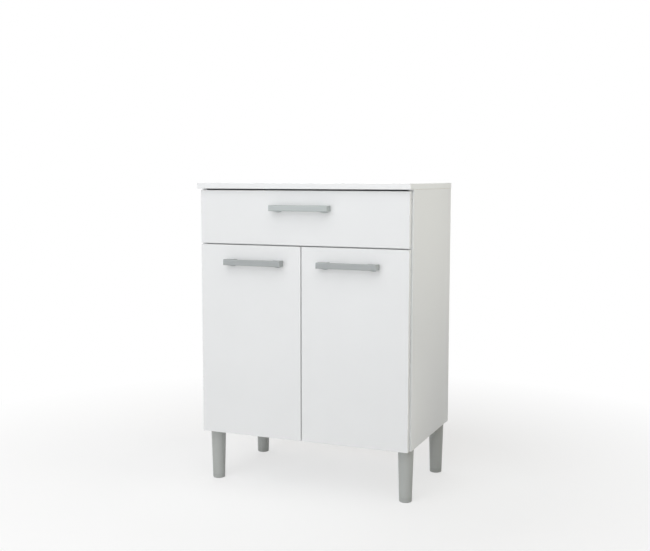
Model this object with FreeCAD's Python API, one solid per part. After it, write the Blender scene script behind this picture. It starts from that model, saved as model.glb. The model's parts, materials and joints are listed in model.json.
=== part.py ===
"""Microwave stand: a white board cabinet on four tapered legs, with one drawer over two hinged doors.

Millimetres. +X is the viewer's right, +Y goes to the back, +Z is up. The origin is the bottom centre of the
whole stand's box: the floor is z = 0, and y = 0 is midway between the handles' front and the cabinet's back.
"""
import FreeCAD, Part
import os

Vector = FreeCAD.Vector

# ---------------------------------------------------------------- driving dimensions
CABINET_WIDTH = 600.0
STAND_HEIGHT = 825.2
LEG_HEIGHT = 143.0
BODY_DEPTH = 370.0          # face of the doors to the back of the cabinet
HANDLE_REACH = 24.5         # how far a handle stands out of its door
TOP_OVERHANG = 12.0         # how far the top stands out over the doors' faces
BOARD = 15.0                # thickness of every carcass and front board
HARDBOARD = 3.0             # thickness of the back and of the drawer's bottom
DRAWER_BOARD = 12.0         # thickness of the drawer's sides and back
EDGE_ROUND = 0.8            # rounding of the banded board edges
TOUCH = 1e-6                # two places this near each other are the same

FRONT_INSET = 4.7           # fronts stop this far inside the cabinet's sides
FRONT_GAP = 2.0             # air between the carcass and the fronts' back faces
UNDER_TOP_GAP = 4.0
BETWEEN_FRONTS_GAP = 3.2    # between the drawer front and the doors
BETWEEN_DOORS_GAP = 2.6
DOOR_TOP_Z = 660.3

HANDLE_LENGTH = 166.0
HANDLE_HEIGHT = 15.2
HANDLE_FOOT_DROP = 4.4      # how far the feet hang under the bar
HANDLE_BAR_THICKNESS = 9.0
HANDLE_POST_WIDTH = 25.0
HANDLE_FOOT_WIDTH = 30.0
HANDLE_DROP = 45.4          # handle axis below the top edge of its front
HANDLE_FROM_MEETING_EDGE = 49.5
HANDLE_SCREW_SPACING = 128.0

LEG_TOP_RADIUS = 20.7
LEG_FOOT_RADIUS = 16.7
LEG_X = 275.1
LEG_FRONT_SETBACK = 49.8    # leg axis behind the doors' faces
LEG_BACK_SETBACK = 332.9

SLIDE_LENGTH = 300.0
SLIDE_ROOM = 12.5           # between the drawer's sides and the cabinet's sides
SHEET = 1.2                 # steel sheet of the slides
FRONT_ROLLER_RADIUS = 10.0
REAR_ROLLER_RADIUS = 11.0
RUNNING_GAP = 0.3

HINGE_FROM_DOOR_END = 95.0
HINGE_PIVOT_IN = 4.3        # door's turning axis, in from the door's outer edge
HINGE_PIVOT_DEPTH = 7.25    # and in front of the door's back face
CUP_RADIUS = 17.5
CUP_DEPTH = 12.0
CUP_EDGE = 4.0              # board left between the cup and the door's outer edge

# ---------------------------------------------------------------- places worked out from them
HALF_WIDTH = CABINET_WIDTH / 2
INNER_X = HALF_WIDTH - BOARD
BACK_Y = (BODY_DEPTH + HANDLE_REACH) / 2
DOOR_FACE_Y = BACK_Y - BODY_DEPTH
DOOR_BACK_Y = DOOR_FACE_Y + BOARD
CARCASS_FRONT_Y = DOOR_BACK_Y + FRONT_GAP
CARCASS_BACK_Y = BACK_Y - HARDBOARD
TOP_UNDERSIDE_Z = STAND_HEIGHT - BOARD
DRAWER_FRONT_BOTTOM_Z = DOOR_TOP_Z + BETWEEN_FRONTS_GAP
DRAWER_FRONT_TOP_Z = TOP_UNDERSIDE_Z - UNDER_TOP_GAP
DIVIDER_MID_Z = DOOR_TOP_Z + BETWEEN_FRONTS_GAP / 2
DIVIDER_TOP_Z = DIVIDER_MID_Z + BOARD / 2
DIVIDER_BOTTOM_Z = DIVIDER_MID_Z - BOARD / 2
FRONT_EDGE_X = HALF_WIDTH - FRONT_INSET
DOOR_MEETING_X = BETWEEN_DOORS_GAP / 2
LEG_YS = (DOOR_FACE_Y + LEG_FRONT_SETBACK, DOOR_FACE_Y + LEG_BACK_SETBACK)

X_AXIS = Vector(1, 0, 0)
Y_AXIS = Vector(0, 1, 0)
Z_AXIS = Vector(0, 0, 1)

RECESS_WIDTH = 0.9          # arms of a screw's cross recess
RECESS_SHARE = 0.62         # and their length, as a share of the head's width


# ---------------------------------------------------------------- small helpers
def block(x_range, y_range, z_range):
    """Box between two corners."""
    size = [high - low for low, high in (x_range, y_range, z_range)]
    return Part.makeBox(*size, Vector(x_range[0], y_range[0], z_range[0]))


def board(x_range, y_range, z_range, rounding=EDGE_ROUND):
    """Board with all of its edges softly rounded."""
    shape = block(x_range, y_range, z_range)
    return shape.makeFillet(rounding, shape.Edges)


def rod(radius, start, direction, length):
    """Cylinder from a point along a direction."""
    return Part.makeCylinder(radius, length, start, direction)


def fused(shapes):
    """One solid out of pieces that overlap or touch."""
    whole = shapes[0].multiFuse(shapes[1:])
    return whole.removeSplitter()


def edges_on(shape, **planes):
    """Edges whose ends all lie on the given planes, such as x=0, z=5."""
    return [edge for edge in shape.Edges
            if all(abs(getattr(vertex.Point, axis) - place) < TOUCH
                   for vertex in edge.Vertexes for axis, place in planes.items())]


def drilled(shape, cutters):
    """Shape with a list of cutters taken out."""
    return shape.cut(cutters) if cutters else shape


def mirrored(shape):
    """The same piece for the other side of the cabinet."""
    return shape.mirror(Vector(0, 0, 0), X_AXIS)


def both_sides(shapes):
    """Pieces of the left side, and their mirror images."""
    return list(shapes) + [mirrored(shape) for shape in shapes]


def prism(points, z_range):
    """Plan outline of straight edges, given a height."""
    corners = [Vector(x, y, z_range[0]) for x, y in points]
    wire = Part.makePolygon(corners + corners[:1])
    return Part.Face(wire).extrude(Vector(0, 0, z_range[1] - z_range[0]))


def turned(profile, centre):
    """Solid of revolution about the vertical through centre, from (radius, z) points."""
    corners = [Vector(radius, 0, z) for radius, z in profile]
    face = Part.Face(Part.makePolygon(corners + corners[:1]))
    solid = face.revolve(Vector(0, 0, 0), Z_AXIS, 360)
    solid.translate(centre)
    return solid


def cross_slots(centre, outward, length, width, depth):
    """Cutters for the cross recess in a head whose outer face is centred on centre."""
    cutters = []
    for angle in (45, 135):
        cutter = Part.makeBox(length, width, 2 * depth, Vector(-length / 2, -width / 2, -depth))
        cutter.rotate(Vector(0, 0, 0), Z_AXIS, angle)
        onto_head = FreeCAD.Placement(centre, FreeCAD.Rotation(Z_AXIS, outward))
        cutter.Placement = onto_head.multiply(cutter.Placement)
        cutters.append(cutter)
    return cutters


def recessed(screw, head_centre, outward, head_radius, depth):
    """Screw with a cross recess in its head."""
    length = 2 * head_radius * RECESS_SHARE
    return drilled(screw, cross_slots(head_centre, outward, length, RECESS_WIDTH, depth))


def save(name, shapes):
    """Write one node: a piece, or a group of separate identical pieces."""
    shapes = shapes if isinstance(shapes, list) else [shapes]
    solids = [solid for shape in shapes for solid in shape.Solids]
    for solid in solids:
        assert solid.isValid() and solid.Volume > 0, name
    whole = solids[0] if len(solids) == 1 else Part.makeCompound(solids)
    whole.exportStep(os.path.join("parts", name + ".step"))
    print(f"{name:28s} solids {len(solids):3d}  volume {whole.Volume:12.1f}")


# ---------------------------------------------------------------- knock-down joints of the boards
CAM_SETBACK = 24.0          # cam centre behind the joint face
CAM_RADIUS = 7.5
BOLT_THREAD_RADIUS = 3.0
BOLT_THREAD_LENGTH = 11.0
BOLT_SHANK_RADIUS = 2.5
BOLT_HEAD_RADIUS = 3.2
BOLT_HEAD_LENGTH = 4.0
BOLT_BORE_RADIUS = 4.0
DOWEL_RADIUS = 4.0
DOWEL_LONG_HALF = 20.0
DOWEL_SHORT_HALF = 9.0
DOWEL_SPARE = 1.0           # hole left at the dowel's end for glue
CAM_HEIGHT = 12.5
CAM_CLEARANCE = 0.2
CAM_SLOT = (9.0, 1.6, 1.4)  # length, width and depth of the cross in a cam's face
CAM_YS = (-75.0, 115.0)
DOWEL_YS = (-40.0, 80.0)


def cam_joint(joint_point, to_panel, to_open_face, thickness=BOARD, cam_height=CAM_HEIGHT,
              thread=BOLT_THREAD_LENGTH):
    """Cam lock in a board and its bolt in the panel that the board butts against.

    joint_point is on the joint face, at the middle of the board's thickness.
    """
    centre = joint_point - to_panel * CAM_SETBACK
    open_face = centre + to_open_face * (thickness / 2)
    bore = rod(CAM_RADIUS, open_face, -to_open_face, cam_height)
    channel = rod(BOLT_BORE_RADIUS, centre, to_panel, CAM_SETBACK)
    thread_hole = rod(BOLT_THREAD_RADIUS, joint_point, to_panel, thread)
    bolt = fused([
        rod(BOLT_THREAD_RADIUS, joint_point, to_panel, thread),
        rod(BOLT_SHANK_RADIUS, centre, to_panel, CAM_SETBACK),
        rod(BOLT_HEAD_RADIUS, centre - to_panel * (BOLT_HEAD_LENGTH / 2), to_panel, BOLT_HEAD_LENGTH),
    ])
    cam = rod(CAM_RADIUS - CAM_CLEARANCE, open_face, -to_open_face, cam_height - CAM_CLEARANCE)
    pocket = rod(BOLT_BORE_RADIUS, centre - to_panel * BOLT_HEAD_LENGTH, to_panel,
                 CAM_RADIUS + BOLT_HEAD_LENGTH)
    cam = drilled(cam, [pocket] + cross_slots(open_face, to_open_face, *CAM_SLOT))
    return {"cam": cam, "bolt": bolt, "board_cuts": [bore, channel], "panel_cuts": [thread_hole]}


def dowel_joint(joint_point, to_panel, long_half=DOWEL_LONG_HALF, short_half=DOWEL_SHORT_HALF):
    """Wooden dowel across a joint face."""
    start = joint_point - to_panel * long_half
    dowel = rod(DOWEL_RADIUS, start, to_panel, long_half + short_half)
    hole = rod(DOWEL_RADIUS, start - to_panel * DOWEL_SPARE, to_panel, long_half + short_half + DOWEL_SPARE)
    return {"dowel": dowel, "cut": hole}


# ---------------------------------------------------------------- handles
HANDLE_SIDE_ROUND = 2.0
HANDLE_CORNER_ROUND = 2.5
HANDLE_INNER_ROUND = 7.0
POST_FLARE_DEPTH = 8.0      # the posts begin to widen this far from the door
FLARE_DIP = 0.22            # share of its widening that a flare has made halfway to the door
FOOT_SWELL_DEPTH = 16.0     # the feet begin to swell downwards this far from the door
FOOT_SWELL_DIP = 0.45       # share of the swelling made halfway to the door
FOOT_LENS_CENTRE = 17.0     # middle of a foot's swelling, in from the handle's end
FOOT_LENS_HALF = 15.0
FOOT_LENS_SUNK = 1.0        # its tips lie this far inside the bar's height
HANDLE_SCREW_RADIUS = 2.0
HANDLE_SCREW_HEAD_RADIUS = 4.0
HANDLE_SCREW_HEAD_HEIGHT = 2.0
HANDLE_SCREW_RECESS = 1.3
HANDLE_SCREW_BITE = 10.0


def handle_plan():
    """The handle seen from above, as a tall block: a bar on two posts that flare at the door."""
    half = HANDLE_LENGTH / 2
    front = -HANDLE_REACH
    plan = block((-half, half), (front, 0), (-HANDLE_REACH, HANDLE_REACH))
    corners = edges_on(plan, x=-half, y=front) + edges_on(plan, x=half, y=front)
    plan = plan.makeFillet(HANDLE_CORNER_ROUND, corners)
    bar_half = half - HANDLE_POST_WIDTH
    door_half = half - HANDLE_FOOT_WIDTH
    bar_y = front + HANDLE_BAR_THICKNESS
    dip_x = bar_half + (door_half - bar_half) * FLARE_DIP
    low = -HANDLE_REACH
    right = [Vector(bar_half, bar_y, low), Vector(bar_half, -POST_FLARE_DEPTH, low),
             Vector(dip_x, -POST_FLARE_DEPTH / 2, low), Vector(door_half, 0, low)]
    left = [Vector(-point.x, point.y, low) for point in right]
    outline = Part.Wire([
        Part.LineSegment(left[0], right[0]).toShape(),
        Part.LineSegment(right[0], right[1]).toShape(),
        Part.Arc(right[1], right[2], right[3]).toShape(),
        Part.LineSegment(right[3], left[3]).toShape(),
        Part.Arc(left[3], left[2], left[1]).toShape(),
        Part.LineSegment(left[1], left[0]).toShape(),
    ])
    gap = Part.Face(outline).extrude(Vector(0, 0, 2 * HANDLE_REACH))
    gap_corners = edges_on(gap, x=-bar_half, y=bar_y) + edges_on(gap, x=bar_half, y=bar_y)
    gap = gap.makeFillet(HANDLE_INNER_ROUND, gap_corners)
    return plan.cut(gap)


def foot_lens(centre_x, y, low_z):
    """Section of a post's swelling at a depth: a block inside the bar's height with a round belly."""
    top_z = HANDLE_HEIGHT / 2 - FOOT_LENS_SUNK
    left, right = centre_x - FOOT_LENS_HALF, centre_x + FOOT_LENS_HALF
    corners = [Vector(left, y, -top_z), Vector(left, y, top_z),
               Vector(right, y, top_z), Vector(right, y, -top_z)]
    sides = [Part.LineSegment(first, second).toShape() for first, second in zip(corners, corners[1:])]
    belly = Part.Arc(corners[-1], Vector(centre_x, y, low_z), corners[0]).toShape()
    return Part.Wire(sides + [belly])


def handle(centre_x, centre_z):
    """Moulded bow handle: a flat-fronted bar on two posts whose feet belly out underneath."""
    half = HANDLE_LENGTH / 2
    bar_half = HANDLE_HEIGHT / 2
    sides = block((-half, half), (-HANDLE_REACH, 0), (-bar_half, bar_half))
    sides = sides.makeFillet(HANDLE_SIDE_ROUND, edges_on(sides, y=-HANDLE_REACH, z=-bar_half)
                             + edges_on(sides, y=-HANDLE_REACH, z=bar_half))
    feet = []
    for x in (-half + FOOT_LENS_CENTRE, half - FOOT_LENS_CENTRE):
        sections = [foot_lens(x, 0, -bar_half - HANDLE_FOOT_DROP),
                    foot_lens(x, -FOOT_SWELL_DEPTH / 2, -bar_half - HANDLE_FOOT_DROP * FOOT_SWELL_DIP),
                    foot_lens(x, -FOOT_SWELL_DEPTH, FOOT_LENS_SUNK / 2 - bar_half)]
        feet.append(Part.makeLoft(sections, True))
    solid = handle_plan().common(fused([sides] + feet))
    pilots = [rod(HANDLE_SCREW_RADIUS, Vector(x, 0, 0), -Y_AXIS, HANDLE_SCREW_BITE)
              for x in (-HANDLE_SCREW_SPACING / 2, HANDLE_SCREW_SPACING / 2)]
    solid = drilled(solid, pilots)
    solid.translate(Vector(centre_x, DOOR_FACE_Y, centre_z))
    return solid


def handle_screws(centre_x, centre_z):
    """Machine screws from the back of a front into its handle, and the holes for them."""
    screws, holes = [], []
    for x in (centre_x - HANDLE_SCREW_SPACING / 2, centre_x + HANDLE_SCREW_SPACING / 2):
        tip = Vector(x, DOOR_FACE_Y - HANDLE_SCREW_BITE, centre_z)
        shank = rod(HANDLE_SCREW_RADIUS, tip, Y_AXIS, HANDLE_SCREW_BITE + BOARD)
        head = rod(HANDLE_SCREW_HEAD_RADIUS, Vector(x, DOOR_BACK_Y, centre_z), Y_AXIS,
                   HANDLE_SCREW_HEAD_HEIGHT)
        top_y = DOOR_BACK_Y + HANDLE_SCREW_HEAD_HEIGHT
        head = head.makeFillet(HANDLE_SCREW_HEAD_HEIGHT / 2, edges_on(head, y=top_y))
        screws.append(recessed(fused([shank, head]), Vector(x, top_y, centre_z), Y_AXIS,
                               HANDLE_SCREW_HEAD_RADIUS, HANDLE_SCREW_RECESS))
        holes.append(rod(HANDLE_SCREW_RADIUS, Vector(x, DOOR_FACE_Y, centre_z), Y_AXIS, BOARD))
    return screws, holes


# ---------------------------------------------------------------- legs and feet
FOOT_HEIGHT = 13.0
FOOT_ROUND = 2.0
FOOT_GROOVE = 0.6
FOOT_PLUG_HEIGHT = 10.0
LEG_WALL = 3.0
LEG_HEAD = 10.0             # solid top of the hollow leg
STUD_RADIUS = 4.0
STUD_IN_LEG = 40.0
STUD_IN_BOARD = 10.0
BOSS_RADIUS = 8.0
INSERT_RADIUS = 5.5
INSERT_LENGTH = 12.0


def leg_radius(z):
    """Outer radius of the tapered leg at a height."""
    return LEG_FOOT_RADIUS + (LEG_TOP_RADIUS - LEG_FOOT_RADIUS) * z / LEG_HEIGHT


def leg(centre):
    """Hollow tapered leg with a solid head and a boss for its stud."""
    ceiling = LEG_HEIGHT - LEG_HEAD
    boss_bottom = LEG_HEIGHT - STUD_IN_LEG - LEG_WALL
    outline = [
        (leg_radius(FOOT_HEIGHT), FOOT_HEIGHT),
        (leg_radius(LEG_HEIGHT), LEG_HEIGHT),
        (0, LEG_HEIGHT),
        (0, boss_bottom),
        (BOSS_RADIUS, boss_bottom),
        (BOSS_RADIUS, ceiling),
        (leg_radius(ceiling) - LEG_WALL, ceiling),
        (leg_radius(FOOT_HEIGHT) - LEG_WALL, FOOT_HEIGHT),
    ]
    solid = turned(outline, centre)
    stud_hole = rod(STUD_RADIUS, centre + Vector(0, 0, LEG_HEIGHT), -Z_AXIS, STUD_IN_LEG)
    return drilled(solid, [stud_hole])


def foot(centre):
    """Push-in glide that closes the leg: a round-edged tread, a shadow groove and a plug."""
    groove_z = FOOT_HEIGHT - FOOT_GROOVE
    tread_radius = leg_radius(FOOT_HEIGHT)
    plug_radius = leg_radius(FOOT_HEIGHT + FOOT_PLUG_HEIGHT) - LEG_WALL - RUNNING_GAP
    tread = Part.makeCone(LEG_FOOT_RADIUS, tread_radius, groove_z, centre)
    tread = tread.makeFillet(FOOT_ROUND, edges_on(tread, z=0))
    neck_start = centre + Vector(0, 0, groove_z - FOOT_GROOVE)
    neck = rod(tread_radius - FOOT_GROOVE, neck_start, Z_AXIS, 2 * FOOT_GROOVE)
    plug = rod(plug_radius, centre + Vector(0, 0, groove_z), Z_AXIS, FOOT_PLUG_HEIGHT + FOOT_GROOVE)
    return fused([tread, neck, plug])


def leg_stud(centre):
    """Threaded stud between a leg and the insert in the floor panel."""
    bottom = centre + Vector(0, 0, LEG_HEIGHT - STUD_IN_LEG)
    return rod(STUD_RADIUS, bottom, Z_AXIS, STUD_IN_LEG + STUD_IN_BOARD)


def leg_insert(centre):
    """Threaded sleeve in the floor panel that a leg's stud screws into."""
    bottom = centre + Vector(0, 0, LEG_HEIGHT)
    sleeve = rod(INSERT_RADIUS, bottom, Z_AXIS, INSERT_LENGTH)
    return drilled(sleeve, [rod(STUD_RADIUS, bottom, Z_AXIS, STUD_IN_BOARD)])


# ---------------------------------------------------------------- drawer slides (left, mirrored to the right)
CHANNEL_BOTTOM_Z = DIVIDER_TOP_Z + 4.6
CHANNEL_HEIGHT = 26.0
CHANNEL_FRONT_Y = CARCASS_FRONT_Y + 2.0
CHANNEL_LOWER_FLANGE = 10.3
CHANNEL_UPPER_FLANGE = 8.0
CHANNEL_WEB_X = -INNER_X + SHEET
DRAWER_SIDE_X = -INNER_X + SLIDE_ROOM
RUNNER_FRONT_Y = DOOR_BACK_Y + 1.75
RUNNER_BACK_Y = RUNNER_FRONT_Y + SLIDE_LENGTH
RUNNER_WEB_X = DRAWER_SIDE_X - SHEET
RUNNER_LIP_Z = CHANNEL_BOTTOM_Z + 4.0
ROLLER_FLOOR_Z = CHANNEL_BOTTOM_Z + SHEET + RUNNING_GAP
FRONT_ROLLER_Y = CHANNEL_FRONT_Y + 12.75
FRONT_ROLLER_Z = ROLLER_FLOOR_Z + FRONT_ROLLER_RADIUS
REAR_ROLLER_Y = RUNNER_BACK_Y - 12.0
REAR_ROLLER_Z = ROLLER_FLOOR_Z + REAR_ROLLER_RADIUS
RUNNER_FLANGE_Z = FRONT_ROLLER_Z + FRONT_ROLLER_RADIUS + RUNNING_GAP
RUNNER_FLANGE_BACK_Y = REAR_ROLLER_Y - REAR_ROLLER_RADIUS - 2.0
FLANGE_SIDE_GAP = 1.3       # between the runner's flange and the channel's web
BEND_OUTSIDE = 1.6          # radii of the sheet's bends
BEND_INSIDE = BEND_OUTSIDE - SHEET
ROLLER_PIN_RADIUS = 2.5
PIN_CLEARANCE = 0.05
ROLLER_EDGE_ROUND = 0.8
ROLLER_SIDE_GAP = 0.2
ROLLER_INNER_X = CHANNEL_WEB_X + 8.5
RIVET_HEAD_RADIUS = 4.0
RIVET_HEAD_HEIGHT = 0.7
RIVET_TAIL_HEIGHT = 1.2
RIVET_COLLAR_RADIUS = 3.5
FRONT_ROLLER_WIDTH = 8.0
REAR_ROLLER_WIDTH = 7.0
SLIDE_SCREW_YS = (-118.0, 22.0, 122.0)
RUNNER_SCREW_YS = (-110.0, 80.0)
WOOD_SCREW_RADIUS = 1.8
WOOD_SCREW_HEAD_RADIUS = 3.4
WOOD_SCREW_HEAD_HEIGHT = 0.8
WOOD_SCREW_RECESS = 0.5
WOOD_SCREW_LENGTH = 12.0


def wood_screw(seat, direction, length=WOOD_SCREW_LENGTH):
    """Flat-headed screw whose head lies on seat and whose shank goes along direction."""
    head = rod(WOOD_SCREW_HEAD_RADIUS, seat, -direction, WOOD_SCREW_HEAD_HEIGHT)
    screw = fused([rod(WOOD_SCREW_RADIUS, seat, direction, length), head])
    return recessed(screw, seat - direction * WOOD_SCREW_HEAD_HEIGHT, -direction, WOOD_SCREW_HEAD_RADIUS,
                    WOOD_SCREW_RECESS)


def screw_hole(seat, direction):
    """Hole that a wood screw's shank fills."""
    return rod(WOOD_SCREW_RADIUS, seat, direction, WOOD_SCREW_LENGTH)


def channel_pin_start():
    return Vector(-INNER_X, FRONT_ROLLER_Y, FRONT_ROLLER_Z)


def slide_channel():
    """C-shaped cabinet half of a slide, open towards the drawer."""
    y_range = (CHANNEL_FRONT_Y, CHANNEL_FRONT_Y + SLIDE_LENGTH)
    top = CHANNEL_BOTTOM_Z + CHANNEL_HEIGHT
    web = block((-INNER_X, CHANNEL_WEB_X), y_range, (CHANNEL_BOTTOM_Z, top))
    lower = block((-INNER_X, -INNER_X + CHANNEL_LOWER_FLANGE), y_range,
                  (CHANNEL_BOTTOM_Z, CHANNEL_BOTTOM_Z + SHEET))
    upper = block((-INNER_X, -INNER_X + CHANNEL_UPPER_FLANGE), y_range, (top - SHEET, top))
    holes = [rod(WOOD_SCREW_RADIUS, seat, -X_AXIS, SHEET) for seat in channel_screw_seats()]
    holes.append(rod(ROLLER_PIN_RADIUS, channel_pin_start(), X_AXIS, SHEET))
    channel = fused([web, lower, upper])
    channel = channel.makeFillet(BEND_OUTSIDE, edges_on(channel, x=-INNER_X, z=CHANNEL_BOTTOM_Z)
                                 + edges_on(channel, x=-INNER_X, z=top))
    channel = channel.makeFillet(BEND_INSIDE, edges_on(channel, x=CHANNEL_WEB_X, z=CHANNEL_BOTTOM_Z + SHEET)
                                 + edges_on(channel, x=CHANNEL_WEB_X, z=top - SHEET))
    return drilled(channel, holes)


def channel_screw_seats():
    return [Vector(CHANNEL_WEB_X, y, CHANNEL_BOTTOM_Z + CHANNEL_HEIGHT / 2) for y in SLIDE_SCREW_YS]


def slide_runner():
    """Drawer half of a slide: a lip under the drawer's side, a web, and a flange on the front roller."""
    full = (RUNNER_FRONT_Y, RUNNER_BACK_Y)
    web = block((RUNNER_WEB_X, DRAWER_SIDE_X), full, (RUNNER_LIP_Z, RUNNER_FLANGE_Z + SHEET))
    lip = block((RUNNER_WEB_X, DRAWER_SIDE_X + DRAWER_BOARD - 1), (RUNNER_FRONT_Y, DRAWER_BOX_BACK_Y),
                (RUNNER_LIP_Z, RUNNER_LIP_Z + SHEET))
    flange = block((CHANNEL_WEB_X + FLANGE_SIDE_GAP, DRAWER_SIDE_X), (RUNNER_FRONT_Y, RUNNER_FLANGE_BACK_Y),
                   (RUNNER_FLANGE_Z, RUNNER_FLANGE_Z + SHEET))
    holes = [rod(WOOD_SCREW_RADIUS, seat, Z_AXIS, SHEET) for seat in runner_screw_seats()]
    pin_hole = rod(ROLLER_PIN_RADIUS, Vector(RUNNER_WEB_X, REAR_ROLLER_Y, REAR_ROLLER_Z), X_AXIS, SHEET)
    runner = fused([web, lip, flange])
    runner = runner.makeFillet(BEND_OUTSIDE, edges_on(runner, x=RUNNER_WEB_X, z=RUNNER_LIP_Z)
                               + edges_on(runner, x=DRAWER_SIDE_X, z=RUNNER_FLANGE_Z + SHEET))
    runner = runner.makeFillet(BEND_INSIDE, edges_on(runner, x=DRAWER_SIDE_X, z=RUNNER_LIP_Z + SHEET)
                               + edges_on(runner, x=RUNNER_WEB_X, z=RUNNER_FLANGE_Z))
    return drilled(runner, holes + [pin_hole])


def runner_screw_seats():
    x = DRAWER_SIDE_X + DRAWER_BOARD / 2
    return [Vector(x, y, RUNNER_LIP_Z) for y in RUNNER_SCREW_YS]


def roller(x_range, y, z, radius):
    """Round-edged plastic roller with a running bore."""
    width = x_range[1] - x_range[0]
    start = Vector(x_range[0], y, z)
    body = rod(radius, start, X_AXIS, width)
    body = body.makeFillet(ROLLER_EDGE_ROUND, edges_on(body, x=x_range[0]) + edges_on(body, x=x_range[1]))
    return body.cut(rod(ROLLER_PIN_RADIUS + PIN_CLEARANCE, start, X_AXIS, width))


def front_roller():
    """Roller on the cabinet's channel, under the runner's flange."""
    return roller((ROLLER_INNER_X - FRONT_ROLLER_WIDTH, ROLLER_INNER_X), FRONT_ROLLER_Y, FRONT_ROLLER_Z,
                  FRONT_ROLLER_RADIUS)


def front_roller_pin():
    """Rivet from the channel's web through the front roller."""
    head_x = ROLLER_INNER_X + ROLLER_SIDE_GAP
    shank = rod(ROLLER_PIN_RADIUS, channel_pin_start(), X_AXIS, head_x + INNER_X)
    head = rod(RIVET_HEAD_RADIUS, Vector(head_x, FRONT_ROLLER_Y, FRONT_ROLLER_Z), X_AXIS, RIVET_HEAD_HEIGHT)
    return fused([shank, head])


def rear_roller():
    """Roller on the runner's rear end, inside the channel."""
    return roller((ROLLER_INNER_X - REAR_ROLLER_WIDTH, ROLLER_INNER_X), REAR_ROLLER_Y, REAR_ROLLER_Z,
                  REAR_ROLLER_RADIUS)


def rear_roller_pin():
    """Rivet from the runner's web through the rear roller, with a collar that spaces it off."""
    start_x = ROLLER_INNER_X - REAR_ROLLER_WIDTH - ROLLER_SIDE_GAP
    centre = Vector(start_x, REAR_ROLLER_Y, REAR_ROLLER_Z)
    shank = rod(ROLLER_PIN_RADIUS, centre, X_AXIS, DRAWER_SIDE_X - start_x)
    collar_x = ROLLER_INNER_X + ROLLER_SIDE_GAP / 2
    collar = rod(RIVET_COLLAR_RADIUS, Vector(collar_x, REAR_ROLLER_Y, REAR_ROLLER_Z), X_AXIS,
                 RUNNER_WEB_X - collar_x)
    tail = rod(RIVET_HEAD_RADIUS, Vector(DRAWER_SIDE_X, REAR_ROLLER_Y, REAR_ROLLER_Z), X_AXIS,
               RIVET_TAIL_HEIGHT)
    return fused([shank, collar, tail])


# ---------------------------------------------------------------- drawer
DRAWER_BOX_HEIGHT = 100.0
DRAWER_BOX_BACK_Y = 118.0
DRAWER_BOX_BOTTOM_Z = RUNNER_LIP_Z + SHEET
DRAWER_BOX_TOP_Z = DRAWER_BOX_BOTTOM_Z + DRAWER_BOX_HEIGHT
GROOVE_DEPTH = 6.0
GROOVE_SPARE = 0.1
DRAWER_FLOOR_Z = DRAWER_BOX_BOTTOM_Z + 12.0
CONFIRMAT_RADIUS = 2.5
CONFIRMAT_HEAD_RADIUS = 3.5
CONFIRMAT_HEAD_LENGTH = 3.0
CONFIRMAT_LENGTH = 42.0
CONFIRMAT_RECESS = 2.0
BACK_SCREW_OFFSETS = (-18.0, 32.0)      # from the middle of the drawer box's height
DRAWER_DOWEL_OFFSETS = (-24.0, 26.0)
DRAWER_EDGE_ROUND = 0.5
DRAWER_FLOOR_SPARE = 0.5                # play of the bottom at the end of each groove
DRAWER_CAM_HEIGHT = 9.5
DRAWER_BOLT_THREAD = 10.0
DRAWER_DOWEL_LONG = 16.0


def confirmat(seat, direction):
    """Chipboard screw with its head let in flush."""
    return fused([rod(CONFIRMAT_RADIUS, seat, direction, CONFIRMAT_LENGTH),
                  rod(CONFIRMAT_HEAD_RADIUS, seat, direction, CONFIRMAT_HEAD_LENGTH)])


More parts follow.
